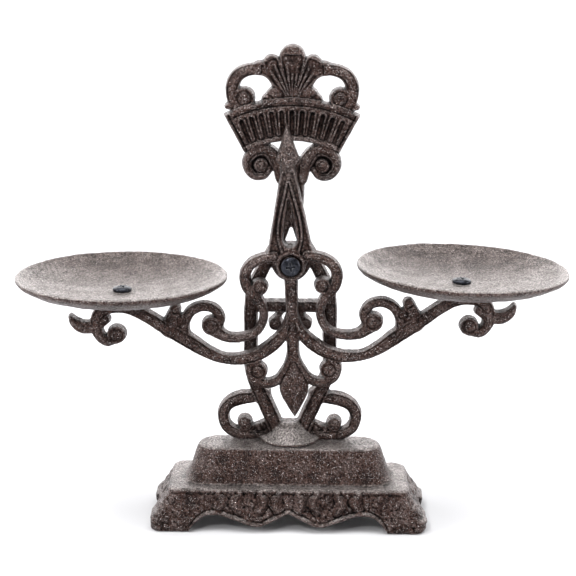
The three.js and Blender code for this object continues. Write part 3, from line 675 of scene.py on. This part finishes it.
def build_beam():
    c = Casting(-141, 141, -98, 90)
    thin = -0.6
    c.strand(ARM)
    c.strand(HEART)
    c.strand(HOOK, lift=thin)
    c.strand(LOWER_CURL, lift=thin)
    c.strand([[24, -17, 6], [19, -13, 6]], flat)
    c.strand(ARM_LEAF, roof, lift=-0.3, fillet=0.8)
    c.strand(TAIL_LEAF, roof, lift=-0.3, fillet=0.8)
    c.strand(SPINE, mirror=False)
    c.strand(DROP_LEAF, roof, lift=-0.2, mirror=False, over=True, fillet=0.6)
    c.disc(67.4, -32, 3.4, lift=-0.8, crown=0.4)
    c.disc(70.8, -25.6, 3.0, lift=-0.6, crown=0.8)
    for x, z, r, lift in CURL_KNOBS:
        c.disc(x, z, r, lift=lift, crown=1.3, groove=0.8)
    # blade with its raised drop-shaped ring and slot
    blade = c.polygon_distance(BLADE)
    c.outline = smin(c.outline, blade, 1.0)
    face = -1.3 + 0.9 * ridge(blade, -0.9, 0.6) + 0.5 * ridge(c.X, 0, 1.1) * (c.Z > 50)
    c.relief = np.where(blade < 0.2, smax(c.relief, face, 0.4), c.relief)
    before = c.outline.copy()
    c.outline[:] = 20
    keep = c.relief.copy()
    c.strand(BLADE_RING, flat, mirror=False)
    ring = c.outline
    c.outline = smin(before, ring, 1.0)
    face = 0.1 + 0.9 * ridge(ring, -0.8, 0.5) - 0.5 * ridge(ring, -2.0, 0.5)
    c.relief = np.where(ring < 0, face, keep)
    # hub: a raised rim round the screw's recess
    hub = np.hypot(c.X, c.Z) - HUB_R
    c.outline = smin(c.outline, hub, 1.2)
    rim, recess = 0.45 - 0.5 * np.abs(hub + 1.3), -0.2 - 0.8 * ridge(hub, -3.1, 0.5)
    c.relief = np.where(hub < 0, np.where(hub > -2.6, rim, recess), c.relief)
    # arrow head: facets up to a middle ridge
    arrow = c.polygon_distance(ARROW)
    c.outline = smin(c.outline, arrow, 0.5)
    c.relief = np.where(arrow < 0.2, -0.9 + 0.5 * np.clip(-arrow, 0, 4), c.relief)
    # slot
    t = np.clip((SLOT_TOP - c.Z) / (SLOT_TOP - SLOT_FOOT), 0, 1)
    slot = np.hypot(c.X, c.Z - np.clip(c.Z, SLOT_FOOT, SLOT_TOP)) - SLOT_R * t
    c.outline = smax(c.outline, -slot, 0.8)
    f, y = c.solid(BEAM_FRONT, BEAM_BACK, BEAM_FRONT - 5, BEAM_BACK + 5)
    X, Y, Z = c.x[:, None, None], y[None, :, None], c.z[None, None, :]
    # posts under the pans, cut off at the leaning seats, with holes for the screws
    for side in (1, -1):
        t = math.radians(PAN_LEAN[side])
        across = (X - side * PAN_X) * math.cos(t) - (Z - SEAT_TOP) * math.sin(t)
        up = (X - side * PAN_X) * math.sin(t) + (Z - SEAT_TOP) * math.cos(t)
        r = np.hypot(across, Y)
        post = smax(r - 7.0, np.maximum(up, -8.5 - up), 0.6)
        f = smin(f, post, 1.2)
        f = smax(f, np.where(r < 9.5, up, -9.0), 0.3)
        f = np.maximum(f, np.minimum(2.2 - r, up + 10))
    f = np.maximum(f, PIVOT_BORE_R - np.hypot(X, Z))
    verts, faces = surface_nets(f, (c.x[0], y[0], c.z[0]), STEP)
    verts[:, 2] += PIVOT_Z
    verts = roughen(verts, faces, CAST_SKIN)
    # upward faces and the arrow painted a little lighter, as a painted highlight
    x, z = np.abs(verts[:, 0]), verts[:, 2] - PIVOT_Z
    top = np.clip((vertex_normals(verts, faces)[:, 2] - 0.42) / 0.4, 0, 1)
    painted_glare = np.maximum(0.2 * top, 0.14 * np.clip((z - 40) / 8, 0, 1) * (x < 9))
    return make_object("beam_casting", verts, faces, "balance_beam", IRON, ["beam"], painted_glare)


# ---- Base ----
# Half width and half depth of the tiers, and of the hollow below them, at these heights
LOWER_TIER = [0, 2.5, 7.5, 9.5, 25, 26], [84.2, 85, 85, 82.8, 73, 72.2], [31, 31.7, 31.7, 30.6, 25.7, 25]
UPPER_TIER = [25, 26.4, 30, 43, 47, 48], [65.4, 64, 62, 58, 56.2, 55], [19.2, 18.2, 17, 14.5, 13.5, 12.5]
LOWER_HOLLOW = [-2, 8, 22], [80.8, 79.8, 68.6], [27.5, 26.9, 21.5]
UPPER_HOLLOW = [20, 44], [60, 53.5], [14, 10.3]
SCALLOP = [
    [0, 11.5, 0], [8, 8, 0], [19, 3.6, 0], [32, 7.5, 0], [44, 10.6, 0], [53, 9, 0], [60, 2, 0], [62, -3, 0],
]
END_OPENING = [0, 6, 11, 15, 17.2], [11, 10, 7.0, 2, -3]  # distance from the middle, height
# x, length and bend of the soft crescents on the right half of the long skirts
CRESCENTS = [(6, 9.6, 2.0), (17.5, 9.0, -2.4), (30, 9.6, 2.4), (43, 8.0, -2.2)]


def round_rect(x, y, a, b, r):
    qx, qy = np.abs(x) - (a - r), np.abs(y) - (b - r)
    return np.hypot(np.maximum(qx, 0), np.maximum(qy, 0)) + np.minimum(np.maximum(qx, qy), 0) - r


def tier(x, y, z, sizes, r):
    """A block of rounded rectangles whose half sizes follow a table of heights."""
    heights, widths, depths = sizes
    return round_rect(x, y, np.interp(z, heights, widths), np.interp(z, heights, depths), r)


def scallop(x):
    """Height of the long skirts' lower edge at x."""
    line = smooth_line(SCALLOP)
    return np.interp(np.abs(x), line[:, 0], line[:, 1], right=-6)


def rough_leaves(p, twist, which):
    """Worn foliage: creased noise on axes turned away from the grid's."""
    q = p @ np.array(twist)
    return 1.3 * np.abs(noise(q, 3.6, which)) + 0.5 * noise(q, 1.7, which + 1)


def build_base():
    x = np.arange(-88, 88.01, STEP)
    y = np.arange(-31, 37.01, STEP)
    z = np.arange(-1, 49.6, STEP)
    X, Y, Z = x[:, None, None], y[None, :, None] - BASE_Y, z[None, None, :]
    lower = smax(tier(X, Y, Z, LOWER_TIER, 6.3), Z - LEDGE_Z, 0.9)
    upper = smax(tier(X, Y, Z, UPPER_TIER, 12.6), Z - BASE_TOP_Z, 1.2)
    upper = smin(upper, round_rect(X, Y, 64.5, 18.6, 12.6) + np.abs(Z - 26.4) * 0.9, 1.0)
    f = smin(lower, upper, 1.4)
    # relief on the skirts: a bead along the lower edge, soft crescents, and worn foliage between them
    edge = scallop(X)
    up = Z - edge
    bead = 0.9 * ridge(up, 1.2, 0.8) - 0.7 * ridge(up, 3.2, 0.7)
    bead = bead * (np.abs(X) < 64)
    carve = np.zeros((len(x), 1, len(z)))
    ground = np.ones(carve.shape)
    for cx, tall, bend in [(-cx, tall, -bend) for cx, tall, bend in reversed(CRESCENTS)] + CRESCENTS:
        t = np.clip((Z - 23.0) / -tall, 0, 1)
        middle = cx + bend * (1 - (2 * t - 1) ** 2)
        away = np.hypot(X - middle, np.maximum(np.abs(Z - 23.0 + tall * 0.5) - tall * 0.5, 0))
        d = away / (1.3 + 1.5 * np.sqrt(np.maximum(t * (1 - t), 0)) + 0.5 * t)
        carve = carve + 1.7 * ridge(d, 0, 1) * (Z < 24.6) - 0.45 * ridge(d, 2.0, 0.45)
        ground = ground * np.clip((d - 1.2) / 0.8, 0, 1)
    rib = ridge(Z, 24.6, 0.8) - 0.2 * ridge(Z, 22.8, 0.6) * ground
    px, pz = (np.broadcast_to(axis, carve.shape).ravel() for axis in (X, Z))
    p = np.stack([px, np.zeros(carve.size), pz], 1)
    foliage = rough_leaves(p, [[0.8, 0.2, 0.56], [0, 1, 0], [-0.57, 0.3, 0.76]], 0).reshape(carve.shape)
    fade = np.clip((up - 2.4) / 1.5, 0, 1)
    below_rib = np.clip((24 - Z) / 1.5, 0, 1)
    carve = carve + (0.75 * foliage - 0.3) * ground * fade * below_rib + 0.7 * rib
    on_long = np.clip((np.abs(Y) - 20) / 1.5, 0, 1) * (Z < 26.2)
    p = np.stack([np.zeros(y.size * z.size), np.repeat(y, z.size), np.tile(z, y.size)], 1)
    foliage = rough_leaves(p, [[1, 0, 0], [0.3, 0.8, 0.52], [0.2, -0.55, 0.81]], 2).reshape(1, y.size, z.size)
    ends = (0.9 * foliage - 0.35) * below_rib * np.clip((Z - 10.5) / 2, 0, 1)
    ends = ends + 0.7 * ridge(Z, 24.2, 0.8)
    on_end = np.clip((np.abs(X) - (68 + (24 - Z) * 0.55)) / 1.0, 0, 1) * (1 - on_long)
    f = f - (bead + carve) * on_long - ends * on_end * (Z < 26.2)
    # hollow, openings between the feet, and the foot bolt's hole
    hollow = smax(tier(X, Y, Z, LOWER_HOLLOW, 4.5), Z - 22.5, 0.8)
    above = smax(tier(X, Y, Z, UPPER_HOLLOW, 9.0), Z - 44, 0.8)
    f = smax(f, -np.minimum(hollow, above), 0.6)
    f = smax(f, -smax((Z - edge) * 0.8, np.abs(X) - 63, 0.5), 0.8)
    side_edge = np.interp(np.abs(Y), *END_OPENING)
    f = smax(f, -smax((Z - side_edge) * 0.8, np.abs(Y) - 17, 0.5), 0.8)
    f = np.maximum(f, FOOT_BOLT_R - np.hypot(X, Y + BASE_Y - FOOT_BOLT_Y))
    f = smax(f, -Z, 0.4)
    verts, faces = surface_nets(f.astype(np.float32), (x[0], y[0], z[0]), STEP)
    verts = roughen(verts, faces, BASE_SKIN)
    verts[:, 2] = np.maximum(verts[:, 2], 0)
    return make_object("base_casting", verts, faces, "stand", IRON, ["base"])


# ---- Turned pieces ----
def revolve(profile, segments):
    """A closed ring of quads from a closed [radius, z] profile about the Z axis."""
    p = np.array(profile, float)
    a = np.linspace(0, 2 * np.pi, segments, endpoint=False)
    radius, height = p[:, :1], p[:, 1:]
    n = len(p)
    level = np.broadcast_to(height, (n, segments))
    verts = np.stack([radius * np.cos(a), radius * np.sin(a), level], -1).reshape(-1, 3)
    i, j = np.meshgrid(np.arange(n), np.arange(segments), indexing="ij")
    i2, j2 = (i + 1) % n, (j + 1) % segments
    row, next_row = i * segments, i2 * segments
    quads = np.stack([row + j, row + j2, next_row + j2, next_row + j], -1).reshape(-1, 4)
    return verts, quads


def fine_profile(points, pitch):
    """A closed profile with a point about every pitch."""
    p = np.array(points, float)
    out = []
    for a, b in zip(p, np.roll(p, -1, axis=0)):
        k = max(1, int(round(np.linalg.norm(b - a) / pitch)))
        out.extend(a + (b - a) * t for t in np.linspace(0, 1, k, endpoint=False))
    return np.array(out)


def rounded(points):
    """A closed profile with its corners cut twice."""
    p = np.array(points, float)
    for _ in range(2):
        q = np.roll(p, -1, axis=0)
        p = np.stack([0.78 * p + 0.22 * q, 0.22 * p + 0.78 * q], 1).reshape(-1, 2)
    return p


def to_pan(verts, side):
    """Leans a pan or its screw on the seat (z relative to the pivot), then moves it to its place."""
    out = lean(verts, PAN_LEAN[side], SEAT_TOP)
    return out + np.array([side * PAN_X, 0, PIVOT_Z])


def build_pan(word, side):
    floor = -PAN_FLOOR
    under = floor - PAN_WALL
    pad = floor + PAN_PAD
    profile = [
        (PAN_HOLE_R, under), (9, under), (20, under + 0.2), (29, under + 0.8), (44.4, -11.3), (55.4, -7.9),
        (62.2, -4.2), (63.9, -2.6), (64.0, -0.8), (63.2, -0.05), (62.2, -0.15), (60.8, -1.2), (54, -4.9),
        (43, -8.2), (31, floor + 0.8), (20, floor + 0.1), (7.6, floor), (6.8, pad), (PAN_HOLE_R, pad),
    ]
    pitch = 0.75
    ring = fine_profile(rounded(profile), pitch)
    verts, quads = revolve(ring, 480)
    verts[:, 2] += PAN_RIM_Z
    # uneven cast surface, but for the pad under the screw; each pan has its own
    p = verts + np.array([37.0 * side, 0, 0])
    normals = vertex_normals(verts, quads)
    r = np.hypot(verts[:, 0], verts[:, 1])
    fade = np.clip((r - 7.6) / 4, 0, 1)
    move = 0.20 * noise(p, 9.0, 0) + 0.13 * noise(p, 3.6, 1) + 0.08 * noise(p, 1.5, 2)
    verts = verts + normals * (move * fade)[:, None]
    # the inside's upward faces are painted lighter, a painted reflection of the bright surroundings; its fade
    # to dark at the back is painted too, in place of what the bowl would reflect
    upper = np.clip((vertex_normals(verts, quads)[:, 2] - 0.1) / 0.4, 0, 1)
    painted_glare = upper * (1 - 0.62 * np.clip((verts[:, 1] - 6) / 36, 0, 1))
    name, node = f"pan_dish_{word}", f"pan_{word}"
    return make_object(name, to_pan(verts, side), quads, "balance_beam", PAN_IRON, [node], painted_glare)


def screw_field(X, Y, Z, head_r, head_h, shank_r, shank_l, turn):
    """Round head on z = 0 with a cross recess, and a shank with fine thread grooves below."""
    r = np.hypot(X, Y)
    top = head_h * np.sqrt(np.clip(1 - (r / (head_r * 1.13)) ** 2, 0, 1)) ** 0.8
    head = smax(r - head_r, Z - top, 0.5)
    head = smax(head, -Z, 0.2)
    thread = 0.16 * np.abs(((Z / 0.8 + np.arctan2(Y, X) / (2 * np.pi)) % 1) - 0.5)
    shank = smax(r - shank_r + thread, -Z - shank_l, 0.8)
    shank = np.maximum(shank, Z - 0.5)
    f = np.minimum(head, shank)
    c, s = math.cos(turn), math.sin(turn)
    u, v = X * c + Y * s, -X * s + Y * c
    depth = head_h - 1.9
    narrow = np.clip((Z - depth) / 1.9, 0, 1.4)
    for p, q in ((u, v), (v, u)):
        wing = np.maximum(np.abs(p) - head_r * (0.30 + 0.26 * narrow), np.abs(q) - 0.55 - 0.12 * narrow)
        f = smax(f, -np.maximum(wing, depth - Z), 0.15)
    return f


def build_screw(name, node, body, head_r, head_h, shank_r, shank_l, turn, place):
    step = 0.22
    x = np.arange(-head_r - 1, head_r + 1 + step, step)
    z = np.arange(-shank_l - 1, head_h + 1 + step, step)
    X, Y, Z = x[:, None, None], x[None, :, None], z[None, None, :]
    f = screw_field(X, Y, Z, head_r, head_h, shank_r, shank_l, turn)
    verts, faces = surface_nets(f.astype(np.float32), (x[0], x[0], z[0]), step)
    return make_object(name, place(verts), faces, body, STEEL, [node])


def place_pan_screw(side):
    """Head down on the raised pad in the middle of a pan."""
    return lambda v: to_pan(v + np.array([0, 0, PAN_RIM_Z - PAN_FLOOR + PAN_PAD + 0.3]), side)


def place_pivot(v):
    """Head in front of the beam."""
    return np.stack([v[:, 0], BEAM_FRONT - 0.3 - v[:, 2], PIVOT_Z + v[:, 1]], 1)


def place_foot_bolt(v):
    """Head down inside the hollow of the base."""
    return np.stack([v[:, 0], FOOT_BOLT_Y - v[:, 1], 42.2 - v[:, 2]], 1)


def place_foot_washer(v):
    return v + np.array([0, FOOT_BOLT_Y, 42.5])


def build_ring(name, node, inner, outer, height, place):
    profile = fine_profile(rounded([(inner, 0), (outer, 0), (outer, height), (inner, height)]), 0.4)
    verts, quads = revolve(profile, 96)
    return make_object(name, place(verts), quads, "stand", STEEL, [node])


def place_behind(y):
    """On the pivot's axis, behind y."""
    return lambda v: np.stack([v[:, 0], y + v[:, 2], PIVOT_Z - v[:, 1]], 1)


WASHER_H = 1.2


def build_nut():
    step = 0.2
    x = np.arange(-6, 6 + step, step)
    z = np.arange(-0.6, 4.2 + step, step)
    X, Y, Z = x[:, None, None], x[None, :, None], z[None, None, :]
    hexagon = np.full((len(x), len(x), 1), -9.0)
    for i in range(6):
        a = math.radians(60 * i)
        hexagon = np.maximum(hexagon, X * math.cos(a) + Y * math.sin(a) - 4.5)
    r = np.hypot(X, Y)
    f = smax(hexagon, np.maximum(Z - 3.6, -Z), 0.15)
    f = np.maximum(f, (r - 4.75 + 0.9 * np.maximum(Z - 3.0, 0.6 - Z)) * 0.75)
    f = np.maximum(f, PIVOT_BORE_R - r)
    verts, faces = surface_nets(f.astype(np.float32), (x[0], x[0], z[0]), step)
    place = place_behind(UP_BACK + GAP + WASHER_H + GAP)
    return make_object("nut_piece", place(verts), faces, "stand", STEEL, ["pivot_nut"])


build_base()
build_upright()
build_beam()
for word, side, turn in (("left", -1, 0.5), ("right", 1, 0.2)):
    build_pan(word, side)
    name, node = f"dish_screw_{word}", f"pan_screw_{word}"
    build_screw(name, node, "balance_beam", 5.8, 2.9, 1.9, 11.0, turn, place_pan_screw(side))
build_screw("pivot_bolt", "pivot_screw", "stand", 5.85, 3.2, 2.5, 24.0, 0.12, place_pivot)
build_screw("foot_bolt_piece", "foot_bolt", "stand", 5.0, 2.8, 2.4, 12.8, 0.3, place_foot_bolt)
build_ring("foot_washer_piece", "foot_washer", FOOT_BOLT_R, 5.8, WASHER_H, place_foot_washer)
build_ring("spacer_piece", "pivot_spacer", PIVOT_BORE_R, 7.5, 2.4, place_behind(BEAM_BACK + GAP))
build_ring("washer_piece", "pivot_washer", PIVOT_BORE_R, 6.5, WASHER_H, place_behind(UP_BACK + GAP))
build_nut()


# ---- Floor, lights and camera ----
def build_floor():
    """A wide pale sheet just under the feet, in metres."""
    n = 60
    size = 24.0
    line = [(i / n - 0.5) * size for i in range(n + 1)]
    verts = [(x, y, -0.0002) for y in line for x in line]
    row = n + 1
    firsts = [j * row + i for j in range(n) for i in range(n)]
    faces = [(k, k + 1, k + row + 1, k + row) for k in firsts]
    mesh = bpy.data.meshes.new("floor")
    mesh.from_pydata(verts, [], faces)
    m, nodes, links, shader, coord = new_material("white_paper")
    shader.inputs["Base Color"].default_value = (0.55, 0.55, 0.56, 1)
    shader.inputs["Roughness"].default_value = 0.9
    shader.inputs["Specular IOR Level"].default_value = 0.1
    mesh.materials.append(m)
    floor = bpy.data.objects.new("floor", mesh)
    bpy.context.scene.collection.objects.link(floor)


def build_world(front, overhead, horizon):
    """A bright band low behind the object, paler overhead, dark in front, so upward faces glare."""
    world = bpy.data.worlds.new("studio")
    world.use_nodes = True
    nodes, links = world.node_tree.nodes, world.node_tree.links
    background = nodes["Background"]
    coord = nodes.new("ShaderNodeTexCoord")
    axes = nodes.new("ShaderNodeSeparateXYZ")
    links.new(coord.outputs["Generated"], axes.inputs[0])
    low = map_range(nodes, links, axes.outputs["Z"], 0.35, 0.75, horizon, overhead)
    depth = map_range(nodes, links, axes.outputs["Y"], -0.25, 0.55, 0.0, 1.0)
    level = nodes.new("ShaderNodeMath")
    level.operation = "MULTIPLY_ADD"
    links.new(low, level.inputs[0])
    links.new(depth, level.inputs[1])
    level.inputs[2].default_value = front
    links.new(level.outputs[0], background.inputs["Strength"])
    background.inputs["Color"].default_value = (0.99, 0.99, 1, 1)
    bpy.context.scene.world = world


def area(name, location, target, size, energy):
    """A rectangular light of size (width, height), aimed at target."""
    light = bpy.data.lights.new(name, "AREA")
    light.shape = "RECTANGLE"
    light.size, light.size_y = size
    light.energy = energy
    obj = bpy.data.objects.new(name, light)
    obj.location = location
    direction = Vector(target) - Vector(location)
    obj.rotation_euler = direction.to_track_quat("-Z", "Y").to_euler()
    bpy.context.scene.collection.objects.link(obj)


def sun(name, towards, strength, angle):
    """A wide soft sun, shining from the given direction."""
    light = bpy.data.lights.new(name, "SUN")
    light.energy = strength
    light.angle = math.radians(angle)
    obj = bpy.data.objects.new(name, light)
    obj.rotation_euler = Vector(towards).to_track_quat("Z", "Y").to_euler()
    bpy.context.scene.collection.objects.link(obj)


def build_camera():
    camera = bpy.data.cameras.new("camera")
    camera.sensor_width = 36.0
    camera.lens = 98.125
    camera.clip_start = 0.01
    camera.clip_end = 40
    obj = bpy.data.objects.new("camera", camera)
    yaw, pitch, twist = math.radians(-0.594), math.radians(14.033), math.radians(0.45)
    look = Vector((math.sin(yaw) * math.cos(pitch), math.cos(yaw) * math.cos(pitch), -math.sin(pitch)))
    right = Vector((math.cos(yaw), -math.sin(yaw), 0))
    up = right.cross(look)
    right, up = (
        right * math.cos(twist) + up * math.sin(twist),
        up * math.cos(twist) - right * math.sin(twist),
    )
    turn = Matrix((right, up, -look)).transposed().to_4x4()
    obj.matrix_world = Matrix.Translation((0.00807, -0.92486, 0.21693 + PIVOT_Z * MM)) @ turn
    bpy.context.scene.collection.objects.link(obj)
    bpy.context.scene.camera = obj


build_floor()
build_world(0.3, 0.5, 3.4)
sun("top", (-0.06, -0.12, 1.0), 4.6, 55)
area("left box", (-0.9, -0.35, 0.45), (0, 0, 0.12), (0.35, 0.6), 7)
area("right box", (0.95, -0.25, 0.4), (0, 0, 0.12), (0.35, 0.6), 7)
area("key", (-0.35, -0.9, 0.85), (0, 0, 0.15), (0.16, 0.16), 5)
build_camera()
bpy.context.scene.view_settings.view_transform = "Standard"
